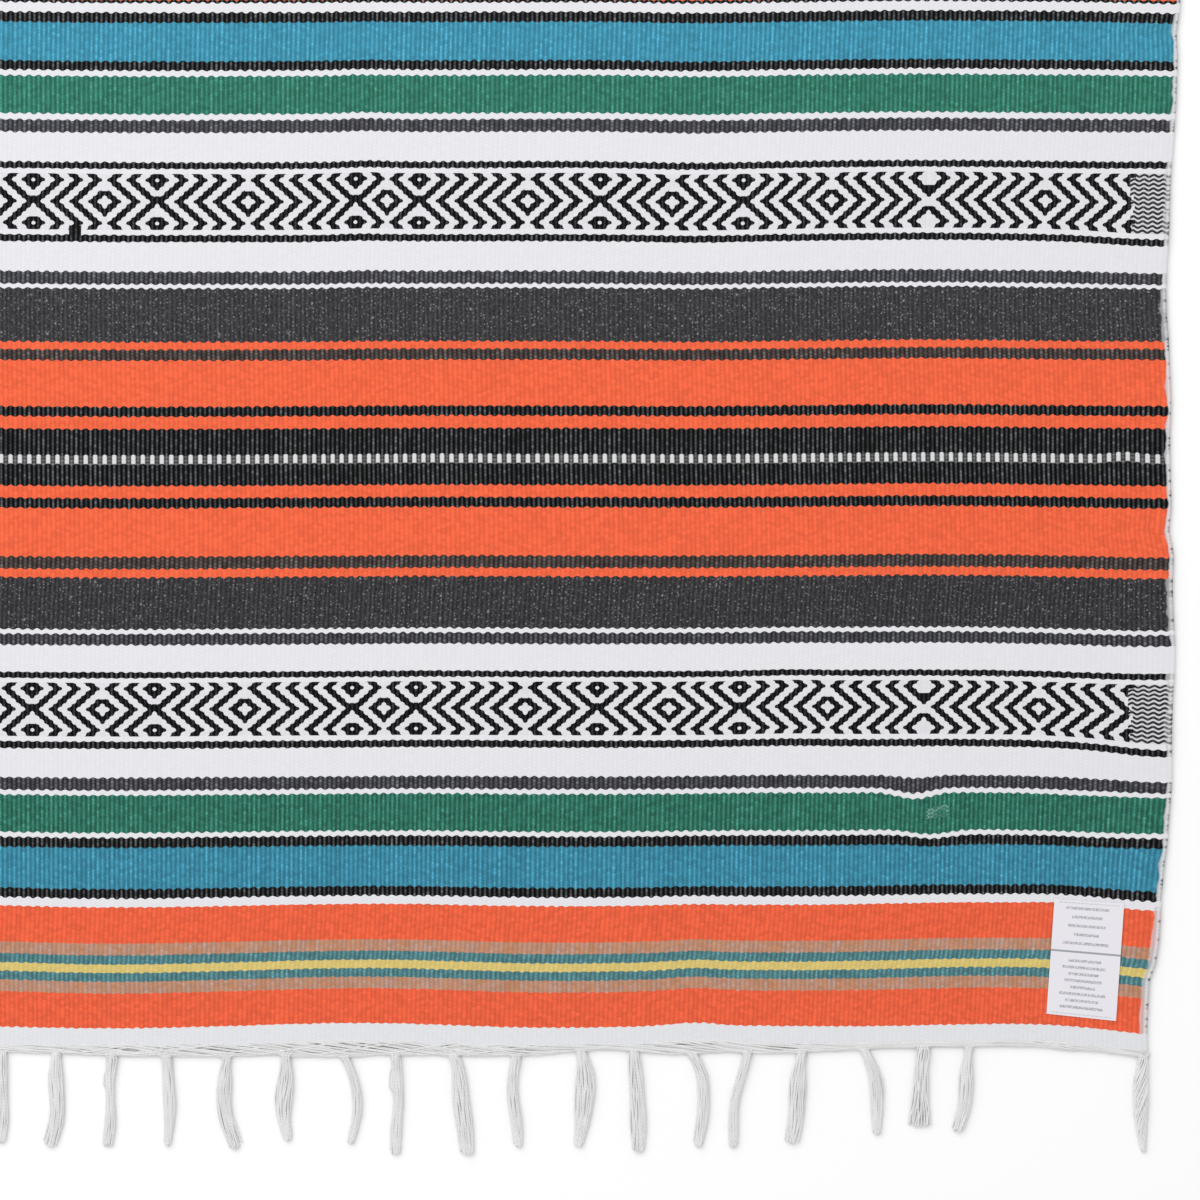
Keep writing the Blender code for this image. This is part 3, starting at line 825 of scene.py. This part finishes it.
# One row a tassel: (knot from the right selvage, drift to the right at a quarter, half, three quarters
# and the tip, reach past the end of the weave, width at the root, half way and the tip), mm
TASSELS = (
    (22.4, -0.9, -0.8, -1.2, 0.2, 63.7, 5.4, 10.4, 2.6),
    (125.5, -1.8, -2.5, -3.1, -6.4, 51.8, 3.4, 8.6, 6.6),
    (152.9, -1.2, -1.1, -1.8, -3.0, 48.8, 7.6, 8.8, 14.0),
    (188.0, 5.5, 7.1, 7.6, 7.6, 53.6, 4.6, 8.2, 4.2),
    (224.9, -2.2, -2.8, -3.9, -6.6, 58.9, 4.8, 10.0, 7.8),
    (257.6, -3.0, -7.9, -8.4, -8.6, 61.3, 4.6, 6.0, 4.6),
    (289.8, 6.5, 6.3, 4.9, 3.0, 60.7, 5.0, 7.2, 4.8), (324.9, 1.1, 2.1, 2.0, 2.0, 63.7, 4.6, 9.4, 7.4),
    (356.4, 1.9, 2.9, 1.2, -1.6, 60.7, 5.4, 11.8, 5.0),
    (395.1, -2.4, -2.2, -0.4, 1.4, 60.7, 5.0, 7.1, 5.2),
    (432.0, 3.0, 4.6, 6.6, 8.3, 65.5, 5.6, 10.2, 8.0),
    (466.5, 1.1, 1.9, -0.7, -0.4, 65.5, 5.2, 6.4, 5.4),
    (496.8, 5.5, 7.8, 7.0, 3.3, 58.9, 4.6, 5.9, 3.6),
    (531.9, 0.0, -2.4, -1.8, 1.2, 57.1, 5.0, 10.2, 4.4),
    (567.0, -1.6, -2.3, 0.5, 4.9, 61.9, 3.8, 8.9, 6.8),
    (602.7, 1.1, 1.1, 1.4, 0.7, 60.1, 5.4, 7.2, 3.6),
    (635.5, -1.2, -0.6, -0.4, -2.5, 60.7, 6.0, 5.4, 6.0),
    (668.2, -1.1, 0.2, -0.5, -4.0, 60.7, 4.6, 9.0, 7.2),
    (700.9, -0.3, 0.5, 0.8, -0.2, 58.3, 4.6, 6.4, 5.2),
)
LEFT_CORNER_TASSEL = (1250.0, 1.3, 1.6, 1.5, 0.8, 62.0, 4.8, 8.6, 3.0)
FAR_EXTRA_TASSEL = (72.0, 1.3, 2.0, 3.4, 4.5, 58.0, 4.6, 8.0, 5.0)
# Yarns that stand out from a tassel in a loop: (knot from the right, bulge to the left, from, to), mm
LOOSE_LOOPS = (
    (635.5, 4.6, 14.0, 27.0), (635.5, 3.6, 12.0, 24.0), (466.5, 3.9, 12.0, 29.0), (668.2, 4.4, 11.0, 30.0),
)
SPUN_TIGHT = 22.4              # the knot of the corner tassel, which is twisted like a cord
SPUN_YARNS = 22
SPUN_STEP = 2.39996            # from each of its yarns to the next round the middle, radians
LEFT_TASSELS_START = 734.9     # mm
UNDER_YARNS = [1.2, 1.7, 2.0, 2.0, 2.0, 1.7, 0.8]    # thickness along the yarns that fill a bunch
# Layers of the heading: (start past the weave's last pick, how soon it reaches the edge, ribs from one
# yarn to the next, height over the floor, fall along the yarn), mm
HEADING_LAYERS = ((-0.4, 1.25, 3, 1.5, 0.2), (-1.4, 1.15, 4, 2.1, 0.3), (-2.4, 1.05, 3, 2.75, 0.7))
# Where the heading's yarns part: (from the right, past the end, half length, half width), mm
HEADING_GAPS = (
    (36.9, 5.2, 3.5, 0.7), (232.0, 1.4, 5.0, 0.5), (295.7, -0.4, 5.0, 0.6), (305.0, 3.6, 8.0, 0.5),
    (413.5, 5.4, 6.0, 0.6), (474.0, 0.8, 6.0, 0.7), (589.0, 0.9, 5.5, 0.8), (624.8, 2.4, 7.5, 1.6),
    (651.5, 2.5, 6.5, 1.0), (830.0, 1.5, 6.0, 0.9), (1002.0, 2.2, 7.0, 1.2), (1171.0, 1.8, 6.0, 0.9),
)


def heading_edge(from_right):
    """How far the heading reaches past the nominal end of the weave, mm."""
    folded = HEADING_FOLD - abs(HEADING_FOLD - from_right)
    return float(np.interp(folded, [row[0] for row in HEADING_EDGE], [row[1] for row in HEADING_EDGE]))


def tassel_row(near_end):
    """Every tassel of one end. The left half repeats the right half's, the other way round."""
    turned = 1.0 if near_end else -1.0
    row = [(knot, *[turned * drift for drift in drifts], *sizes)
           for knot, *drifts, sizes in [(*line[:5], line[5:]) for line in TASSELS]]
    if not near_end:
        row.insert(1, FAR_EXTRA_TASSEL)
    place = LEFT_TASSELS_START
    for _knot, _quarter, half_way, _later, tip, reach, root, middle, end in reversed(TASSELS):
        if place > LEFT_CORNER_TASSEL[0] - TASSEL_PITCH:
            break
        swapped = [4 * tip * part * (1 - part) + half_way * part * (2 * part - 1) for part in QUARTERS[1:]]
        row.append((place, *[turned * drift for drift in swapped], reach, root, middle, end))
        place += TASSEL_PITCH
    row.append(LEFT_CORNER_TASSEL)
    return row


def yarn_bundle(name, radius):
    """An empty bundle of round yarns with closed ends, radius in mm."""
    bundle = bpy.data.curves.new(name, "CURVE")
    bundle.dimensions = "3D"
    bundle.bevel_depth = radius * MM
    bundle.bevel_resolution = 1
    bundle.use_fill_caps = True
    return bundle


def lay_yarn(bundle, places, swells, resolution):
    """Lay a smooth yarn through places, thicker or thinner at each by its swell."""
    spline = bundle.splines.new("NURBS")
    spline.points.add(len(places) - 1)
    for point, place, swell in zip(spline.points, places, swells):
        point.co = (*place, 1.0)
        point.radius = swell
    spline.order_u = 3
    spline.use_endpoint_u = True
    spline.resolution_u = resolution


def bundle_piece(bundle, material):
    """The piece that a bundle makes as a mesh, with the yarns' own UV map."""
    name = bundle.name
    drawn = new_object(name + "_drawn", bundle)
    bpy.context.view_layer.update()
    mesh = bpy.data.meshes.new_from_object(drawn)
    bpy.data.objects.remove(drawn)
    bpy.data.curves.remove(bundle)
    mesh.name = name
    mesh.uv_layers[0].name = "yarn"
    mesh.shade_smooth()
    mesh.materials.clear()
    mesh.materials.append(material)
    return new_object(name, mesh)


def add_yarn(bundle, side, points, thickness=1.0):
    """A yarn through points given as (from the right, past the weave's end, height), mm."""
    swells = thickness if isinstance(thickness, list) else [thickness] * len(points)
    places = []
    for (from_right, out, height), swell in zip(points, swells):
        height = MM * max(height, YARN_RADIUS * swell)
        places.append((WIDTH / 2 - MM * from_right, side * (WOVEN_LENGTH / 2 + MM * out), height))
    lay_yarn(bundle, places, swells, 1)


def tassel_width(part, root, middle, tip):
    """Width of a tassel's bunch at a part of its length, mm."""
    widths = (root + 1.4, root + 1.6, middle * 1.04, middle * 1.08, tip + 2.4, tip + 1.4)
    return float(np.interp(part, (0.0, 0.06, 0.28, 0.6, 0.93, 1.0), widths))


def round_the_middle(turn):
    """Place across and height share of a yarn of the twisted tassel."""
    return 0.9 * math.cos(turn), 0.5 + 0.45 * math.sin(turn)


def bunch_lanes(knot, middle, rng):
    """Each yarn of a bunch: its place across, -1 to 1, its height share, and how far it winds round."""
    if knot == SPUN_TIGHT:
        turns = [number * SPUN_STEP for number in range(SPUN_YARNS)]
        return [(*round_the_middle(turn), turn) for turn in turns]
    upper = round(1.05 * middle) + 2
    lanes = []
    for lower in (0, 1):
        for lane in range(upper - lower):
            across = 2.0 * (lane + 0.5 + 0.5 * lower) / upper - 1.0
            rise = math.sqrt(max(0.0, 1.0 - across * across))
            lanes.append((across, (0.42 + 0.46 * rise) if lower == 0 else 0.12 + 0.40 * rise, None))
    rng.shuffle(lanes)
    return lanes


def add_tassel(bundle, side, row, rng):
    """One tassel: yarns gathered from both sides, two wraps of the knot, and the hanging bunch."""
    knot, *drifts, reach, root, middle, tip = row
    drifts = [0.0, *drifts]
    start = heading_edge(knot) - 0.6
    sway, waves = rng.uniform(0.0, math.tau), rng.uniform(3.0, 6.0)
    for lane, rise, turn in bunch_lanes(knot, middle, rng):
        length = reach - rng.random() ** 2 * 2.5 - 2.2 * lane * lane
        wander, phase = rng.uniform(0.05, 0.17), rng.uniform(0.0, math.tau)
        from_side = lane * rng.uniform(2.0, 7.0)
        points = [
            (max(knot - from_side, 18.0), start - 2.2, 1.0 + 1.2 * rng.random()),
            (knot - 0.4 * from_side, start - 0.8, 1.4 + 1.4 * rng.random()),
        ]
        for part in (0.02, 0.09, 0.18, 0.30, 0.44, 0.58, 0.72, 0.86, 1.0):
            across, height = lane, rise
            if turn is not None:
                across, height = round_the_middle(turn + 6.0 * part)
            half_width = tassel_width(part, root, middle, tip) / 2 - YARN_RADIUS
            across += wander * math.sin(phase + 10.0 * part) + 0.10 * math.sin(sway + waves * part)
            height *= TASSEL_HEIGHT * float(np.interp(part, (0.0, 0.5, 1.0), (1.0, 0.95, 0.60)))
            height *= 0.92 + 1.2 * wander * math.sin(2.0 * phase + 8.0 * part)
            points.append((knot - np.interp(part, QUARTERS, drifts) - across * half_width,
                           start + (length - start) * part, height))
        add_yarn(bundle, side, points, rng.uniform(0.92, 1.15))
    for lane in np.linspace(-0.62, 0.62, max(2, round(middle / 2.3))):
        points = []
        for part in (0.0, 0.10, 0.24, 0.40, 0.56, 0.72, 0.84):
            half_width = tassel_width(part, root, middle, tip) / 2 - YARN_RADIUS
            across = (lane + 0.10 * math.sin(sway + waves * part)) * half_width
            from_right = knot - np.interp(part, QUARTERS, drifts) - across
            points.append((from_right, start + (reach - start) * part, 1.8))
        add_yarn(bundle, side, points, UNDER_YARNS)
    wrap = [
        (knot + (root / 2 + 0.9) * math.cos(step * 0.9), start - 0.6 + 0.2 * step,
         TASSEL_HEIGHT / 2 - 0.1 + (TASSEL_HEIGHT / 2 - 0.6) * math.sin(step * 0.9))
        for step in range(14)
    ]
    add_yarn(bundle, side, wrap, 0.9)
    for place, bulge, begin, end in LOOSE_LOOPS:
        if place == knot:
            add_yarn(bundle, side, [
                (knot, begin - 5.0, 2.4), (knot + 0.6 * bulge, begin, 2.8),
                (knot + 1.15 * bulge, (begin + end) / 2, 2.6), (knot + 0.8 * bulge, end - 1.0, 2.2),
                (knot - drifts[1], end + 1.5, 2.8), (knot - drifts[2], end + 8.0, 2.4),
            ])


def end_line(near_end):
    """The weave's end: distances from the right, and how far each is past the nominal end, mm."""
    across = (np.arange(RIBS) + 0.5) / RIBS
    x, y = cloth_plan(across, np.full(RIBS, 0.0 if near_end else WOVEN_LENGTH / MM))
    return (WIDTH / 2 - x) / MM, np.abs(y) / MM - WOVEN_LENGTH / MM / 2


def part_yarns(places, outs, share):
    """How far past the end a heading yarn runs at its places, pushed aside by each gap that it passes."""
    places, pushed = np.array(places), np.array(outs, float)
    order = np.argsort(places)
    in_order = places[order], pushed[order]
    for gap, gap_out, half_length, half_width in HEADING_GAPS:
        if places.min() < gap < places.max():
            away = float(np.interp(gap, *in_order)) - gap_out
            reach = half_width * share * math.exp(-abs(away) / (2.5 * half_width))
            pushed += math.copysign(reach, away) * hump(places - gap, 0.75 * half_length)
    return pushed


def add_heading(bundle, side, near_end, rng):
    """The flat heading: a bed of thick yarns, and over it warps that turn sideways out of the weave."""
    places, ends = end_line(near_end)
    bed = np.arange(places.min() + 0.6, places.max() - 0.6, 6.0)
    for share in (0.12, 0.5, 0.88):
        end = np.interp(bed, places[::-1], ends[::-1]) + 0.4
        edge = np.array([heading_edge(place) for place in bed]) - 1.7 * YARN_RADIUS
        outs = part_yarns(bed, end + (np.maximum(edge, end + 0.2) - end) * share, 1.9)
        points = [(place, out, 0.85) for place, out in zip(bed, outs)]
        add_yarn(bundle, side, points, 1.6)
    for layer, (first, depth, spacing, top, fall) in enumerate(HEADING_LAYERS):
        for number in range(layer, RIBS, spacing):
            run = rng.uniform(46.0, 80.0) * (1 if rng.random() < 0.10 * layer else -1)
            sway, bias = rng.uniform(0.0, math.tau), rng.uniform(-0.5, 0.5)
            parts = (0.0, 0.04, 0.14, 0.27, 0.42, 0.57, 0.72, 0.87, 1.0)
            run_places, outs = [], []
            for part in parts:
                from_right = min(max(places[number] + run * part, places.min() + 0.4), places.max() - 0.4)
                end = float(np.interp(from_right, places[::-1], ends[::-1]))
                edge = max(heading_edge(from_right), end + 0.6) - YARN_RADIUS
                inner = end + first
                out = inner + (edge - inner) * min(1.0, part * depth) + 0.25 * math.sin(sway + 6.0 * part)
                if part == 1.0:
                    out -= 0.9
                run_places.append(from_right)
                outs.append(end - 2.0 if part == 0.0 else min(out, edge + 0.2))
            outs = part_yarns(run_places, outs, 1.0)
            heights = [1.3, *[top - fall * part + 0.2 * bias for part in parts[1:-1]], 0.7]
            add_yarn(bundle, side, list(zip(run_places, outs, heights)), rng.uniform(0.95, 1.2))


def warp_yarn():
    """Material of the fringe: off-white two-ply cotton, its twist running round each yarn."""
    material, tree, shader = new_material("warp_yarn")
    _places, along, around = map_places(tree, "yarn")
    ridge = abs(calc("SINE", (along * 34.0 + around) * math.pi))
    place = add_node(tree, "TexCoord").outputs["Object"]
    soil = add_node(tree, "TexNoise", {"Vector": place, "Scale": 90.0, "Detail": 3.0})
    colour = tint(Amount(soil.outputs["Fac"]), srgb("EFEFEF"), srgb("DFDFDF"))
    # Painted shade: the grooves between the plies are painted darker grey
    colour = tint(ridge * -0.16 + 0.16, colour, srgb("A8A8AA"))
    finish(shader, colour, ridge, 0.5, 0.2 * MM, {"Roughness": 0.9, "Specular IOR Level": 0.2})
    return material


def fringe(name, near_end, seed, material):
    """All the warp ends of one end of the serape, as one mesh."""
    rng = random.Random(seed)
    side = -1.0 if near_end else 1.0
    bundle = yarn_bundle(name, YARN_RADIUS)
    for row in tassel_row(near_end):
        add_tassel(bundle, side, row, rng)
    add_heading(bundle, side, near_end, rng)
    piece = bundle_piece(bundle, material)
    yarn_places = np.zeros(len(piece.data.loops) * 2)
    piece.data.uv_layers["yarn"].data.foreach_get("uv", yarn_places)
    corner_map(piece.data, "OFBake", yarn_places[0::2], yarn_places[1::2])
    return piece


yarn_material = warp_yarn()
near_fringe = fringe("near_fringe", True, 11, yarn_material)
far_fringe = fringe("far_fringe", False, 23, yarn_material)
for piece, node in ((near_fringe, "fringe_near"), (far_fringe, "fringe_far")):
    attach(piece, "root")
    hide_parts(node)

# ---------------------------------------------------------------------------
# Care label. White satin tape, sewn flat over the near right corner along its
# top and bottom edges. It is left plain but for a ruled line and soft grey bars.
# ---------------------------------------------------------------------------
LABEL_SIZE = (41.5, 70.0)      # mm
LABEL_MIDDLE = (56.8, 51.0)    # from the right selvage, from the near end, mm
LABEL_TURN = math.radians(-4.0)
LABEL_ASKEW = 1.5              # its near left corner is this much nearer the top, mm
LABEL_TAPE = 0.35              # mm
SEAM_GAP = 0.3                 # mm
LABEL_RULE = 0.444             # down the label, 0 at the top edge
# Soft bars in place of print, evenly spaced in each group: (first, last, how many), down the label
LABEL_BARS = ((0.07, 0.37, 5), (0.52, 0.92, 8))
BAR_HALF_WIDTHS = (0.31, 0.22, 0.27, 0.18, 0.33, 0.24)
BAR_STRENGTH = 0.44


def label_tape():
    """Material of the label: woven satin with a grey rule and unlettered bars."""
    material, tree, shader = new_material("label_tape")
    places, across, up = map_places(tree, "label")
    down = 1.0 - up
    patches = add_node(tree, "TexNoise", {"Vector": places, "Scale": 48.0, "Detail": 1.0})
    ink = ramp(Amount(patches.outputs["Fac"]), 0.36, 0.62) * BAR_STRENGTH + BAR_STRENGTH * 0.4
    colour = srgb("E7E5EB")
    bars = [bar for first, last, count in LABEL_BARS for bar in np.linspace(first, last, count)]
    for number, bar in enumerate(bars):
        half_width = BAR_HALF_WIDTHS[number % len(BAR_HALF_WIDTHS)]
        colour = tint(near(across, 0.49, half_width) * near(down, bar, 0.012) * ink, colour, srgb("5C626C"))
    colour = tint(near(down, LABEL_RULE, 0.0085) * 0.72, colour, srgb("6C737A"))
    threads = calc("SINE", down * 900.0)
    finish(shader, colour, threads, 0.15, 0.1 * MM, {"Roughness": 0.5, "Sheen Weight": 0.1})
    return material


def label_places(across, up):
    """World positions of points on the label's lower face: across and up run from -0.5 to 0.5."""
    turn = math.cos(LABEL_TURN), math.sin(LABEL_TURN)
    right, away = across * LABEL_SIZE[0] * MM, up * LABEL_SIZE[1] * MM
    away = away + LABEL_ASKEW * MM * (0.5 - across) * (0.5 - up)
    x = WIDTH / 2 - LABEL_MIDDLE[0] * MM + right * turn[0] - away * turn[1]
    y = -WOVEN_LENGTH / 2 + LABEL_MIDDLE[1] * MM + right * turn[1] + away * turn[0]
    return x, y


def care_label():
    """The label's tape, lying on the cloth and lifting a little along its free sides."""
    tape = bmesh.new()
    bmesh.ops.create_grid(tape, x_segments=20, y_segments=34, size=0.5)
    bmesh.ops.solidify(tape, geom=tape.faces, thickness=-1.0)
    bmesh.ops.recalc_face_normals(tape, faces=tape.faces)
    mesh, counted, corner_vert = counted_mesh(tape, "care_label_tape")
    across, up, above = counted[:, 0], counted[:, 1], np.abs(counted[:, 2]) > 0.5
    x, y = label_places(across, up)
    lift = 0.28 * np.abs(2 * across) ** 3 * (0.6 + 0.4 * np.sin(9.0 * up + 1.0))
    z = cloth_face(x, y) + MM * (SEAM_GAP + lift * (1.0 - np.abs(2 * up) ** 4))
    corner_map(mesh, "label", across[corner_vert] + 0.5, up[corner_vert] + 0.5)
    return laid_piece(mesh, x, y, z + np.where(above, LABEL_TAPE * MM, 0.0), label_tape())


care_label_tape = care_label()
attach(care_label_tape, "root")
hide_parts("care_label")

# ---------------------------------------------------------------------------
# Stitches of the label. White thread, one row of lock stitches along the top
# edge of the tape and one along its bottom edge.
# ---------------------------------------------------------------------------
STITCH_PITCH = 2.6             # mm
STITCH_THREAD = 0.16           # radius, mm
STITCH_MARGIN = 1.6            # from the tape's top and bottom edge, mm
# Its points: (along it, as a share of the pitch, and over the tape, mm)
STITCH_SHAPE = ((-0.42, -0.1), (-0.36, 0.22), (0.0, 0.26), (0.36, 0.22), (0.42, -0.1))


def label_stitches():
    """Short bent threads dipping into the tape at both ends, two rows of them, as one mesh."""
    thread = yarn_bundle("label_stitches", STITCH_THREAD)
    count = int((LABEL_SIZE[0] - 4.0) / STITCH_PITCH)
    row = 0.5 - STITCH_MARGIN / LABEL_SIZE[1]
    for up in (row, -row):
        for number in range(count):
            places = []
            for shift, rise in STITCH_SHAPE:
                across = (number - (count - 1) / 2 + shift) * STITCH_PITCH / LABEL_SIZE[0]
                x, y = label_places(across, up)
                base = float(cloth_face(np.array([x]), np.array([y]))[0]) + MM * (SEAM_GAP + LABEL_TAPE)
                places.append((x, y, base + rise * MM))
            lay_yarn(thread, places, [1.0] * len(places), 2)
    return bundle_piece(thread, yarn_material)


stitches = label_stitches()
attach(stitches, "root")

LABEL_SIZE[0] * MM
LABEL_SIZE[1] * MM

seen_low, seen_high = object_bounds()
sizes = {"cad": [list(cad_low), list(cad_high)], "visual": [list(seen_low), list(seen_high)]}
